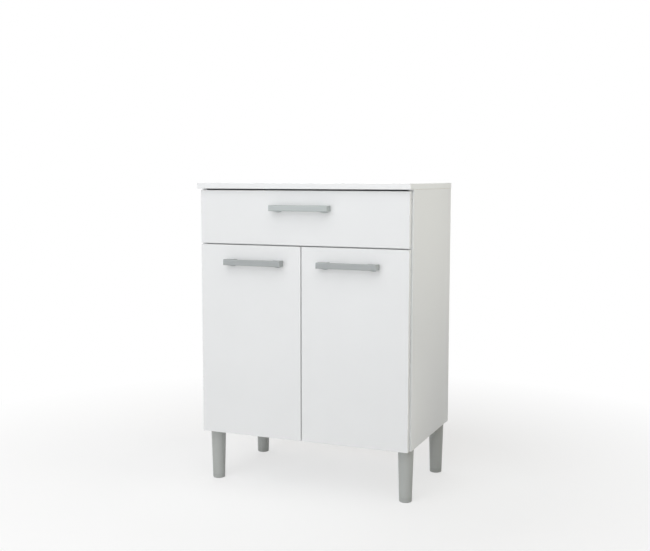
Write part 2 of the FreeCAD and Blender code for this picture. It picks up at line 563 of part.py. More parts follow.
def build_drawer():
    """The drawer: front, two sides, back, bottom, handle, runners and what joins them."""
    side_x = (DRAWER_SIDE_X, DRAWER_SIDE_X + DRAWER_BOARD)
    box_z = (DRAWER_BOX_BOTTOM_Z, DRAWER_BOX_TOP_Z)
    inner_half = -side_x[1]
    floor_z = (DRAWER_FLOOR_Z - GROOVE_SPARE, DRAWER_FLOOR_Z + HARDBOARD + GROOVE_SPARE)
    floor_groove = block((-inner_half - GROOVE_DEPTH, inner_half + GROOVE_DEPTH),
                         (DOOR_BACK_Y - GROOVE_DEPTH, DRAWER_BOX_BACK_Y - GROOVE_DEPTH), floor_z)
    middle_x = (side_x[0] + side_x[1]) / 2
    mid_z = (DRAWER_BOX_BOTTOM_Z + DRAWER_BOX_TOP_Z) / 2

    cam = cam_joint(Vector(middle_x, DOOR_BACK_Y, mid_z), -Y_AXIS, X_AXIS,
                    DRAWER_BOARD, DRAWER_CAM_HEIGHT, DRAWER_BOLT_THREAD)
    dowels = [dowel_joint(Vector(middle_x, DOOR_BACK_Y, mid_z + offset), -Y_AXIS, DRAWER_DOWEL_LONG)
              for offset in DRAWER_DOWEL_OFFSETS]
    dowel_cuts = [dowel["cut"] for dowel in dowels]
    seats = [Vector(side_x[0], DRAWER_BOX_BACK_Y - DRAWER_BOARD / 2, mid_z + offset)
             for offset in BACK_SCREW_OFFSETS]
    confirmats = [confirmat(seat, X_AXIS) for seat in seats]
    back_screws = [recessed(screw, seat, -X_AXIS, CONFIRMAT_HEAD_RADIUS, CONFIRMAT_RECESS)
                   for screw, seat in zip(confirmats, seats)]
    runner_screws = [wood_screw(seat, Z_AXIS) for seat in runner_screw_seats()]
    runner_holes = [screw_hole(seat, Z_AXIS) for seat in runner_screw_seats()]

    side = board(side_x, (DOOR_BACK_Y, DRAWER_BOX_BACK_Y), box_z, DRAWER_EDGE_ROUND)
    side = drilled(side, [floor_groove] + cam["board_cuts"] + dowel_cuts + confirmats + runner_holes)
    back = board((-inner_half, inner_half), (DRAWER_BOX_BACK_Y - DRAWER_BOARD, DRAWER_BOX_BACK_Y), box_z,
                 DRAWER_EDGE_ROUND)
    back = drilled(back, [floor_groove] + both_sides(confirmats))
    floor_half = inner_half + GROOVE_DEPTH - DRAWER_FLOOR_SPARE
    floor_y = (DOOR_BACK_Y - GROOVE_DEPTH + DRAWER_FLOOR_SPARE,
               DRAWER_BOX_BACK_Y - GROOVE_DEPTH - DRAWER_FLOOR_SPARE)
    floor = block((-floor_half, floor_half), floor_y, (DRAWER_FLOOR_Z, DRAWER_FLOOR_Z + HARDBOARD))

    handle_z = DRAWER_FRONT_TOP_Z - HANDLE_DROP
    screws, screw_holes = handle_screws(0, handle_z)
    front = board((-FRONT_EDGE_X, FRONT_EDGE_X), (DOOR_FACE_Y, DOOR_BACK_Y),
                  (DRAWER_FRONT_BOTTOM_Z, DRAWER_FRONT_TOP_Z))
    front = drilled(front, [floor_groove] + both_sides(cam["panel_cuts"] + dowel_cuts) + screw_holes)

    runner = slide_runner()
    save("drawer_front", front)
    save("drawer_side_left", side)
    save("drawer_side_right", mirrored(side))
    save("drawer_back", back)
    save("drawer_bottom", floor)
    save("drawer_handle", handle(0, handle_z))
    save("drawer_handle_screws", screws)
    save("drawer_cam_locks", both_sides([cam["cam"]]))
    save("drawer_cam_bolts", both_sides([cam["bolt"]]))
    save("drawer_dowels", both_sides([dowel["dowel"] for dowel in dowels]))
    save("drawer_back_screws", both_sides(back_screws))
    save("drawer_runner_left", runner)
    save("drawer_runner_right", mirrored(runner))
    save("drawer_runner_screws", both_sides(runner_screws))
    save("drawer_roller_pins", both_sides([rear_roller_pin()]))
    save("drawer_rollers", both_sides([rear_roller()]))
    divider_bumper = bumper(-INNER_X + BUMPER_FROM_SIDE, DRAWER_FRONT_BOTTOM_Z + BUMPER_FROM_EDGE)
    side_bumper = bumper(-INNER_X - BOARD / 2, DRAWER_FRONT_TOP_Z - BUMPER_BELOW_TOP)
    save("drawer_bumpers", both_sides([divider_bumper, side_bumper]))


# ---------------------------------------------------------------- doors and hinges: left, then mirrored
BUMPER_RADIUS = 3.0
BUMPER_HEIGHT = FRONT_GAP - RUNNING_GAP
BUMPER_FROM_EDGE = 3.2
BUMPER_FROM_SIDE = 30.0
BUMPER_BELOW_TOP = 20.0
BUMPER_FROM_MEETING_EDGE = 40.0
HINGE_ZS = (LEG_HEIGHT + HINGE_FROM_DOOR_END, DOOR_TOP_Z - HINGE_FROM_DOOR_END)
DOOR_OUTER_X = -FRONT_EDGE_X
PIVOT = Vector(DOOR_OUTER_X + HINGE_PIVOT_IN, DOOR_BACK_Y - HINGE_PIVOT_DEPTH, 0)
CUP_X = DOOR_OUTER_X + CUP_EDGE + CUP_RADIUS
CUP_WALL = 1.0
FLANGE_SHEET = 1.2
FLANGE_HALF_HEIGHT = 30.0
FLANGE_OUTER_INSET = 0.5    # flange against the cup's rim, towards the door's outer edge
FLANGE_INNER_REACH = 2.0    # and on the other side
FLANGE_CORNER_ROUND = 8.0
CUP_SCREW_OFFSET_X = 9.5
CUP_SCREW_OFFSET_Z = 24.0
CUP_SCREW_LENGTH = 8.0
LEVER_PIN = PIVOT + Vector(14.0, 7.0, 0)
LEVER_PIN_RADIUS = 1.3
LEVER_HALF_HEIGHT = 4.0
LEVER_EYE_RADIUS = 3.0
LEVER_BEND = Vector(8.5, -2.2, 0)       # middle and end of the lever's curve, from its pin
LEVER_END = Vector(15.5, -7.2, 0)
LEVER_OUTWARD = Vector(0.84, 1.8, 0)    # across its thickness
LEVER_TIP_RADIUS = 1.6
ARM_HALF_HEIGHT = 7.0
ARM_THICKNESS = 3.0
ARM_CRANK_Y = CARCASS_FRONT_Y + 8.0     # behind this the arm is straight
ARM_CRANK_LENGTH = 6.0
ARM_NOSE_RADIUS = 3.4
ARM_SKIRT = 4.0                         # side flanges of the arm, down over the plate's block
ARM_SKIRT_LENGTH = 36.0
ARM_SKIRT_INSIDE = 5.8                  # half the room between them
ARM_FORK = 12.0                         # half the size of the gap at the nose
ARM_FORK_DEPTH = 5.5
PLATE_SCREW_Y = CARCASS_FRONT_Y + 37.0
PLATE_SCREW_OFFSET_Z = 16.0
PLATE_SHEET = 2.0
PLATE_HALF_WIDTH = 9.0
PLATE_HALF_HEIGHT = 24.0
PLATE_CORNER_ROUND = 6.0
PLATE_BLOCK_X = -INNER_X + 7.0
PLATE_BLOCK_FRONT = 20.0                # the block's reach from the screws
PLATE_BLOCK_BACK = 16.0
PLATE_BLOCK_HALF_HEIGHT = 5.5
CLAMP_SCREW_RADIUS = 2.0
CLAMP_HEAD_RADIUS = 3.5
CLAMP_HEAD_HEIGHT = 1.5
CLAMP_RECESS = 0.9


def bumper(x, z):
    """Soft stop stuck to the back of a front."""
    disc = rod(BUMPER_RADIUS, Vector(x, DOOR_BACK_Y, z), Y_AXIS, BUMPER_HEIGHT)
    return disc.makeFillet(BUMPER_HEIGHT / 2, edges_on(disc, y=DOOR_BACK_Y + BUMPER_HEIGHT))


def cup_screw_seats(z):
    return [Vector(CUP_X + CUP_SCREW_OFFSET_X, DOOR_BACK_Y + FLANGE_SHEET, z + offset)
            for offset in (-CUP_SCREW_OFFSET_Z, CUP_SCREW_OFFSET_Z)]


def hinge_cup(z):
    """Pressed steel cup of a concealed hinge, with its flange on the door's back face."""
    mouth = Vector(CUP_X, DOOR_BACK_Y + FLANGE_SHEET, z)
    depth = CUP_DEPTH + FLANGE_SHEET
    outer = rod(CUP_RADIUS, mouth, -Y_AXIS, depth)
    flange_x = (CUP_X - CUP_RADIUS + FLANGE_OUTER_INSET, CUP_X + CUP_RADIUS + FLANGE_INNER_REACH)
    flange_z = (z - FLANGE_HALF_HEIGHT, z + FLANGE_HALF_HEIGHT)
    flange = block(flange_x, (DOOR_BACK_Y, mouth.y), flange_z)
    corners = [edge for x in flange_x for height in flange_z for edge in edges_on(flange, x=x, z=height)]
    flange = flange.makeFillet(FLANGE_CORNER_ROUND, corners)
    hollow = rod(CUP_RADIUS - CUP_WALL, mouth, -Y_AXIS, depth - CUP_WALL)
    holes = [rod(WOOD_SCREW_RADIUS, seat, -Y_AXIS, FLANGE_SHEET) for seat in cup_screw_seats(z)]
    return drilled(fused([outer, flange]), [hollow] + holes)


def cup_screws(z):
    """Two short screws through the cup's flange."""
    return [wood_screw(seat, -Y_AXIS, FLANGE_SHEET + CUP_SCREW_LENGTH) for seat in cup_screw_seats(z)]


def plate_screw_seats(z):
    return [Vector(-INNER_X + PLATE_SHEET, PLATE_SCREW_Y, z + offset)
            for offset in (-PLATE_SCREW_OFFSET_Z, PLATE_SCREW_OFFSET_Z)]


def hinge_plate(z):
    """Mounting plate on the cabinet's side: two screwed wings and a raised block for the arm."""
    wings_y = (PLATE_SCREW_Y - PLATE_HALF_WIDTH, PLATE_SCREW_Y + PLATE_HALF_WIDTH)
    wings_z = (z - PLATE_HALF_HEIGHT, z + PLATE_HALF_HEIGHT)
    wings = block((-INNER_X, -INNER_X + PLATE_SHEET), wings_y, wings_z)
    corners = [edge for y in wings_y for height in wings_z for edge in edges_on(wings, y=y, z=height)]
    wings = wings.makeFillet(PLATE_CORNER_ROUND, corners)
    raised_y = (PLATE_SCREW_Y - PLATE_BLOCK_FRONT, PLATE_SCREW_Y + PLATE_BLOCK_BACK)
    raised = block((-INNER_X, PLATE_BLOCK_X), raised_y,
                   (z - PLATE_BLOCK_HALF_HEIGHT, z + PLATE_BLOCK_HALF_HEIGHT))
    holes = [rod(WOOD_SCREW_RADIUS, seat, -X_AXIS, PLATE_SHEET) for seat in plate_screw_seats(z)]
    clamp_hole = rod(CLAMP_SCREW_RADIUS, Vector(-INNER_X, PLATE_SCREW_Y, z), X_AXIS, PLATE_BLOCK_X + INNER_X)
    return drilled(fused([wings, raised]), holes + [clamp_hole])


def hinge_arm(z):
    """Steel arm from the plate to the lever pin inside the cup's mouth, forked at its nose."""
    outer_x = PLATE_BLOCK_X
    inner_x = PLATE_BLOCK_X + ARM_THICKNESS
    skirt_y = (PLATE_SCREW_Y - ARM_SKIRT_LENGTH / 2, PLATE_SCREW_Y + ARM_SKIRT_LENGTH / 2)
    full_z = (z - ARM_HALF_HEIGHT, z + ARM_HALF_HEIGHT)
    stem = prism([(outer_x, skirt_y[1]), (outer_x, ARM_CRANK_Y),
                  (LEVER_PIN.x - ARM_NOSE_RADIUS, LEVER_PIN.y + 1),
                  (LEVER_PIN.x - ARM_NOSE_RADIUS, LEVER_PIN.y),
                  (LEVER_PIN.x + ARM_NOSE_RADIUS, LEVER_PIN.y), (inner_x + 1, ARM_CRANK_Y),
                  (inner_x, ARM_CRANK_Y + ARM_CRANK_LENGTH), (inner_x, skirt_y[1])], full_z)
    nose_start = Vector(LEVER_PIN.x, LEVER_PIN.y, full_z[0])
    nose = rod(ARM_NOSE_RADIUS, nose_start, Z_AXIS, 2 * ARM_HALF_HEIGHT)
    skirts = [block((outer_x - ARM_SKIRT, inner_x), skirt_y, z_range)
              for z_range in ((full_z[0], z - ARM_SKIRT_INSIDE), (z + ARM_SKIRT_INSIDE, full_z[1]))]
    fork_half = LEVER_HALF_HEIGHT + RUNNING_GAP
    fork = block((LEVER_PIN.x - ARM_FORK, LEVER_PIN.x + ARM_FORK),
                 (LEVER_PIN.y - ARM_FORK, LEVER_PIN.y + ARM_FORK_DEPTH), (z - fork_half, z + fork_half))
    pin_hole = rod(LEVER_PIN_RADIUS, nose_start, Z_AXIS, 2 * ARM_HALF_HEIGHT)
    clamp_hole = rod(CLAMP_SCREW_RADIUS, Vector(outer_x, PLATE_SCREW_Y, z), X_AXIS, ARM_THICKNESS)
    return drilled(fused([stem, nose] + skirts), [fork, pin_hole, clamp_hole])


def hinge_pin(z):
    """Pin that the lever turns on."""
    start = Vector(LEVER_PIN.x, LEVER_PIN.y, z - ARM_HALF_HEIGHT)
    return rod(LEVER_PIN_RADIUS, start, Z_AXIS, 2 * ARM_HALF_HEIGHT)


def clamp_screw(z):
    """Screw that clamps the arm onto its plate."""
    seat = Vector(PLATE_BLOCK_X + ARM_THICKNESS, PLATE_SCREW_Y, z)
    shank = rod(CLAMP_SCREW_RADIUS, seat, -X_AXIS, seat.x + INNER_X)
    head = rod(CLAMP_HEAD_RADIUS, seat, X_AXIS, CLAMP_HEAD_HEIGHT)
    return recessed(fused([shank, head]), seat + X_AXIS * CLAMP_HEAD_HEIGHT, X_AXIS, CLAMP_HEAD_RADIUS,
                    CLAMP_RECESS)


def hinge_lever(z):
    """Curved lever from the arm's pin into the cup."""
    height = 2 * LEVER_HALF_HEIGHT
    start = Vector(LEVER_PIN.x, LEVER_PIN.y, z - LEVER_HALF_HEIGHT)
    middle, end = start + LEVER_BEND, start + LEVER_END
    outline = [
        Part.Arc(start, middle, end).toShape(),
        Part.LineSegment(end, end + LEVER_OUTWARD).toShape(),
        Part.Arc(end + LEVER_OUTWARD, middle + LEVER_OUTWARD, start + LEVER_OUTWARD).toShape(),
        Part.LineSegment(start + LEVER_OUTWARD, start).toShape(),
    ]
    strip = Part.Face(Part.Wire(outline)).extrude(Vector(0, 0, height))
    eye = rod(LEVER_EYE_RADIUS, start, Z_AXIS, height)
    tip = rod(LEVER_TIP_RADIUS, end + LEVER_OUTWARD / 2, Z_AXIS, height)
    pin_bore = rod(LEVER_PIN_RADIUS + PIN_CLEARANCE, start, Z_AXIS, height)
    return drilled(fused([eye, strip, tip]), [pin_bore])


def build_doors():
    """Both doors with handles and cups, and the hinges' parts on the cabinet and between."""
    handle_z = DOOR_TOP_Z - HANDLE_DROP
    handle_x = -DOOR_MEETING_X - HANDLE_FROM_MEETING_EDGE - HANDLE_LENGTH / 2
    screws, screw_holes = handle_screws(handle_x, handle_z)
    door = board((DOOR_OUTER_X, -DOOR_MEETING_X), (DOOR_FACE_Y, DOOR_BACK_Y), (LEG_HEIGHT, DOOR_TOP_Z))
    cup_bores = [rod(CUP_RADIUS, Vector(CUP_X, DOOR_BACK_Y, z), -Y_AXIS, CUP_DEPTH) for z in HINGE_ZS]
    all_cup_screws = [screw for z in HINGE_ZS for screw in cup_screws(z)]
    door = drilled(door, cup_bores + all_cup_screws + screw_holes)
    bumper_x = -DOOR_MEETING_X - BUMPER_FROM_MEETING_EDGE
    bumper_zs = (LEG_HEIGHT + BOARD / 2, DIVIDER_BOTTOM_Z + BUMPER_FROM_EDGE)
    pieces = {
        "door": [door],
        "door_handle": [handle(handle_x, handle_z)],
        "handle_screws": screws,
        "door_bumpers": [bumper(bumper_x, z) for z in bumper_zs],
        "hinge_cups": [hinge_cup(z) for z in HINGE_ZS],
        "hinge_cup_screws": all_cup_screws,
        "hinge_levers": [hinge_lever(z) for z in HINGE_ZS],
    }
    for name, shapes in pieces.items():
        save("left_" + name, shapes)
        save("right_" + name, [mirrored(shape) for shape in shapes])
    plate_screws = [wood_screw(seat, -X_AXIS) for z in HINGE_ZS for seat in plate_screw_seats(z)]
    save("hinge_arms", both_sides([hinge_arm(z) for z in HINGE_ZS]))
    save("hinge_plates", both_sides([hinge_plate(z) for z in HINGE_ZS]))
    save("hinge_plate_screws", both_sides(plate_screws))
    save("hinge_clamp_screws", both_sides([clamp_screw(z) for z in HINGE_ZS]))
    save("hinge_pins", both_sides([hinge_pin(z) for z in HINGE_ZS]))


# ---------------------------------------------------------------- carcass
SHELF_FRONT_SETBACK = 20.0
SHELF_BACK_GAP = 2.0
SHELF_SIDE_GAP = 1.0
SHELF_BOTTOM_Z = 398.0
SHELF_PIN_RADIUS = 2.5
SHELF_PIN_IN_BOARD = 9.0
SHELF_PIN_OUT = 8.0
SHELF_COLLAR_RADIUS = 4.0
SHELF_COLLAR_WIDTH = 0.8
SHELF_HOLE_PITCH = 32.0
SHELF_PIN_YS = (-110.0, 150.0)
NAIL_RADIUS = 0.8
NAIL_HEAD_RADIUS = 1.8
NAIL_HEAD_HEIGHT = 0.6
NAIL_LENGTH = 18.0
NAIL_FROM_CORNER = 30.0
NAIL_FROM_SIDE = 35.0
BACK_INSET = 2.0
BACK_TOP_GAP = 0.5
NAIL_ROW_COUNT = 7
NAIL_LINE_COUNT = 5


def shelf_pin(y):
    """Shelf support: a round pin in the side and a flat-topped peg under the shelf."""
    z = SHELF_BOTTOM_Z - SHELF_PIN_RADIUS
    in_board = rod(SHELF_PIN_RADIUS, Vector(-INNER_X - SHELF_PIN_IN_BOARD, y, z), X_AXIS, SHELF_PIN_IN_BOARD)
    collar = rod(SHELF_COLLAR_RADIUS, Vector(-INNER_X, y, z), X_AXIS, SHELF_COLLAR_WIDTH)
    peg = rod(SHELF_PIN_RADIUS, Vector(-INNER_X, y, z), X_AXIS, SHELF_PIN_OUT)
    above = block((-INNER_X, -INNER_X + SHELF_PIN_OUT), (y - SHELF_COLLAR_RADIUS, y + SHELF_COLLAR_RADIUS),
                  (SHELF_BOTTOM_Z, SHELF_BOTTOM_Z + SHELF_COLLAR_RADIUS))
    return drilled(fused([in_board, collar, peg]), [above])


def shelf_pin_holes():
    """Three heights of pin holes in each row, so that the shelf can be moved."""
    z = SHELF_BOTTOM_Z - SHELF_PIN_RADIUS
    places = [Vector(-INNER_X, y, z + step * SHELF_HOLE_PITCH) for y in SHELF_PIN_YS for step in (-1, 0, 1)]
    return [rod(SHELF_PIN_RADIUS, place, -X_AXIS, SHELF_PIN_IN_BOARD) for place in places]


def back_nail(x, z):
    """Panel pin through the hardboard back, its head let in flush."""
    tip = Vector(x, BACK_Y - NAIL_LENGTH, z)
    head = rod(NAIL_HEAD_RADIUS, Vector(x, BACK_Y - NAIL_HEAD_HEIGHT, z), Y_AXIS, NAIL_HEAD_HEIGHT)
    return fused([rod(NAIL_RADIUS, tip, Y_AXIS, NAIL_LENGTH), head])


def spread(low, high, count):
    """Evenly spaced values from low to high."""
    return [low + (high - low) * index / (count - 1) for index in range(count)]


def build_carcass():
    """Sides, floor, divider, top, shelf and back, with the fittings that hold them."""
    carcass_y = (CARCASS_FRONT_Y, CARCASS_BACK_Y)
    floor_mid_z = LEG_HEIGHT + BOARD / 2
    side_mid_x = -INNER_X - BOARD / 2

    board_cams = {z: [cam_joint(Vector(-INNER_X, y, z), -X_AXIS, -Z_AXIS) for y in CAM_YS]
                  for z in (floor_mid_z, DIVIDER_MID_Z)}
    board_dowels = {z: [dowel_joint(Vector(-INNER_X, y, z), -X_AXIS) for y in DOWEL_YS]
                    for z in (floor_mid_z, DIVIDER_MID_Z)}
    top_cams = [cam_joint(Vector(side_mid_x, y, TOP_UNDERSIDE_Z), Z_AXIS, X_AXIS) for y in CAM_YS]
    top_dowels = [dowel_joint(Vector(side_mid_x, y, TOP_UNDERSIDE_Z), Z_AXIS) for y in DOWEL_YS]

    nail_zs = spread(LEG_HEIGHT + NAIL_FROM_CORNER, TOP_UNDERSIDE_Z - NAIL_FROM_CORNER, NAIL_ROW_COUNT)
    nail_xs = spread(-INNER_X + NAIL_FROM_SIDE, INNER_X - NAIL_FROM_SIDE, NAIL_LINE_COUNT)
    nails = [back_nail(x, z) for x in (side_mid_x, -side_mid_x) for z in nail_zs]
    nails += [back_nail(x, z) for z in (floor_mid_z, DIVIDER_MID_Z) for x in nail_xs]

    plate_holes = [screw_hole(seat, -X_AXIS) for z in HINGE_ZS for seat in plate_screw_seats(z)]
    channel_holes = [screw_hole(seat, -X_AXIS) for seat in channel_screw_seats()]
    side_cuts = [cut for z in board_cams for joint in board_cams[z] for cut in joint["panel_cuts"]]
    side_cuts += [joint["cut"] for z in board_dowels for joint in board_dowels[z]]
    side_cuts += [cut for joint in top_cams for cut in joint["board_cuts"]]
    side_cuts += [joint["cut"] for joint in top_dowels]
    side_cuts += shelf_pin_holes() + plate_holes + channel_holes
    side = board((-HALF_WIDTH, -INNER_X), carcass_y, (LEG_HEIGHT, TOP_UNDERSIDE_Z))
    side = drilled(side, side_cuts + nails)
    save("side_panel_left", side)
    save("side_panel_right", mirrored(side))

    leg_places = [Vector(x, y, 0) for x in (-LEG_X, LEG_X) for y in LEG_YS]
    insert_holes = [rod(INSERT_RADIUS, place + Vector(0, 0, LEG_HEIGHT), Z_AXIS, INSERT_LENGTH)
                    for place in leg_places]
    panels = {"floor_panel": (floor_mid_z, insert_holes), "divider_panel": (DIVIDER_MID_Z, [])}
    for name, (mid_z, extra) in panels.items():
        cuts = [cut for joint in board_cams[mid_z] for cut in joint["board_cuts"]]
        cuts += [joint["cut"] for joint in board_dowels[mid_z]]
        panel = board((-INNER_X, INNER_X), carcass_y, (mid_z - BOARD / 2, mid_z + BOARD / 2))
        save(name, drilled(panel, both_sides(cuts) + extra + nails))

    top_cuts = [cut for joint in top_cams for cut in joint["panel_cuts"]]
    top_cuts += [joint["cut"] for joint in top_dowels]
    top = board((-HALF_WIDTH, HALF_WIDTH), (DOOR_FACE_Y - TOP_OVERHANG, BACK_Y),
                (TOP_UNDERSIDE_Z, STAND_HEIGHT))
    save("top_panel", drilled(top, both_sides(top_cuts)))

    shelf_half = INNER_X - SHELF_SIDE_GAP
    shelf_y = (CARCASS_FRONT_Y + SHELF_FRONT_SETBACK, CARCASS_BACK_Y - SHELF_BACK_GAP)
    save("shelf", board((-shelf_half, shelf_half), shelf_y, (SHELF_BOTTOM_Z, SHELF_BOTTOM_Z + BOARD)))
    save("shelf_pins", both_sides([shelf_pin(y) for y in SHELF_PIN_YS]))
    back_half = HALF_WIDTH - BACK_INSET
    back = block((-back_half, back_half), (CARCASS_BACK_Y, BACK_Y),
                 (LEG_HEIGHT + BACK_INSET, TOP_UNDERSIDE_Z - BACK_TOP_GAP))
    save("back_panel", drilled(back, nails))
    save("back_panel_nails", nails)

    all_cams = [joint for z in board_cams for joint in board_cams[z]] + top_cams
    all_dowels = [joint for z in board_dowels for joint in board_dowels[z]] + top_dowels
    save("cam_locks", both_sides([joint["cam"] for joint in all_cams]))
    save("cam_bolts", both_sides([joint["bolt"] for joint in all_cams]))
    save("dowels", both_sides([joint["dowel"] for joint in all_dowels]))

    channel = slide_channel()
    save("slide_channel_left", channel)
    save("slide_channel_right", mirrored(channel))
    save("slide_channel_screws", both_sides([wood_screw(seat, -X_AXIS) for seat in channel_screw_seats()]))
    save("channel_roller_pins", both_sides([front_roller_pin()]))
    save("channel_rollers", both_sides([front_roller()]))

    leg_names = ("leg_front_left", "leg_back_left", "leg_front_right", "leg_back_right")
    for name, place in zip(leg_names, leg_places):
        save(name, leg(place))
    save("foot_glides", [foot(place) for place in leg_places])
    save("leg_studs", [leg_stud(place) for place in leg_places])
    save("leg_inserts", [leg_insert(place) for place in leg_places])


os.makedirs("parts", exist_ok=True)
build_carcass()
build_drawer()
build_doors()
print(f"door axis at x {PIVOT.x:.2f}, y {PIVOT.y:.2f}; lever pin at x {LEVER_PIN.x:.2f}, y {LEVER_PIN.y:.2f}")
print(f"front rollers at y {FRONT_ROLLER_Y:.2f}, z {FRONT_ROLLER_Z:.2f}")
print(f"drawer rollers at y {REAR_ROLLER_Y:.2f}, z {REAR_ROLLER_Z:.2f}")
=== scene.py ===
"""Looks of the microwave stand: finishes, light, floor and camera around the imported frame.

Metres, in the frame of the CAD model: +X to the viewer's right, +Y to the back, +Z up, floor at z = 0.
"""
import json
import math

import bpy
from mathutils import Matrix, Vector


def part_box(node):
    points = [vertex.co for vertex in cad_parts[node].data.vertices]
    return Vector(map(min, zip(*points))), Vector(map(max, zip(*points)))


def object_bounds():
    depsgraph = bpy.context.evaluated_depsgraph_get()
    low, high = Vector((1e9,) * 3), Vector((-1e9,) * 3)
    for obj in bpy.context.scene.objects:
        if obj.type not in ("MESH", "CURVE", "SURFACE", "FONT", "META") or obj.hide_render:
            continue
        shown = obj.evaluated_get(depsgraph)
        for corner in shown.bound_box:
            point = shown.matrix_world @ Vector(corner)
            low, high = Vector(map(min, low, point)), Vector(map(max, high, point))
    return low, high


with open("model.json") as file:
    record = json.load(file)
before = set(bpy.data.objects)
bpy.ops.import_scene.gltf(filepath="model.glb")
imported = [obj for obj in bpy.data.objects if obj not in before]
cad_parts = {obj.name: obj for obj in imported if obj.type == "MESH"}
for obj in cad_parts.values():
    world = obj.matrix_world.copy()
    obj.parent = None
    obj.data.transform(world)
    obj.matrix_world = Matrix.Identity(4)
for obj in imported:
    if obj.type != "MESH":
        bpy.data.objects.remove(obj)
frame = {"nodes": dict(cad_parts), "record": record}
cad_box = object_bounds()
nodes = frame["nodes"]
scene = bpy.context.scene

# ---------------------------------------------------------------- colours, in linear light
WHITE = (0.840, 0.847, 0.846)
BAND_PAINTED_LIGHT = 1.03            # painted light: edge banding made lighter than the face it borders, for the light its edges catch
CHIP_LIGHT = (0.56, 0.41, 0.25)
CHIP_DARK = (0.23, 0.14, 0.07)
CHIP_FINES = 1.25           # pale dust between the chips, against the light chips
HARDBOARD = (0.30, 0.185, 0.10)
HARDBOARD_CLOUD = 1.15      # its paler clouds
LACQUER = (0.80, 0.80, 0.785)
LEG_GREY = (0.455, 0.47, 0.453)
GLIDE_SHADE = 0.94          # the glides' grey against the legs'
SPARK_PAINTED_SHADE = 0.95          # painted shade: a darker grey following the spark texture, standing in for shade in its hollows
DOOR_HANDLE_GREY = (0.395, 0.415, 0.415)
# painted light: the drawer handle is the door handles' plastic in a lighter grey, for the light that falls
# on it
DRAWER_HANDLE_PAINTED_LIGHT_GREY = (0.505, 0.54, 0.535)
ZINC = (0.66, 0.66, 0.64)
ZINC_BRIGHT = 1.05          # the middles and the edges of the spangle, and what is scratched dull
ZINC_DARK = 0.88
ZINC_DULL = 0.78
SLIDE_WHITE = (0.78, 0.78, 0.765)
NYLON = (0.80, 0.80, 0.775)
BEECH = (0.60, 0.41, 0.23)
CLEAR_STOP = (0.78, 0.78, 0.77)

AXES = "xyz"
NOISE_SPAN = (0.3, 0.7)     # most of a noise lies between these
MASK_START = 0.8            # a mask grows over the last fifth before its threshold
FACING = 0.7                # a face that looks along an axis has at least this much of its normal there


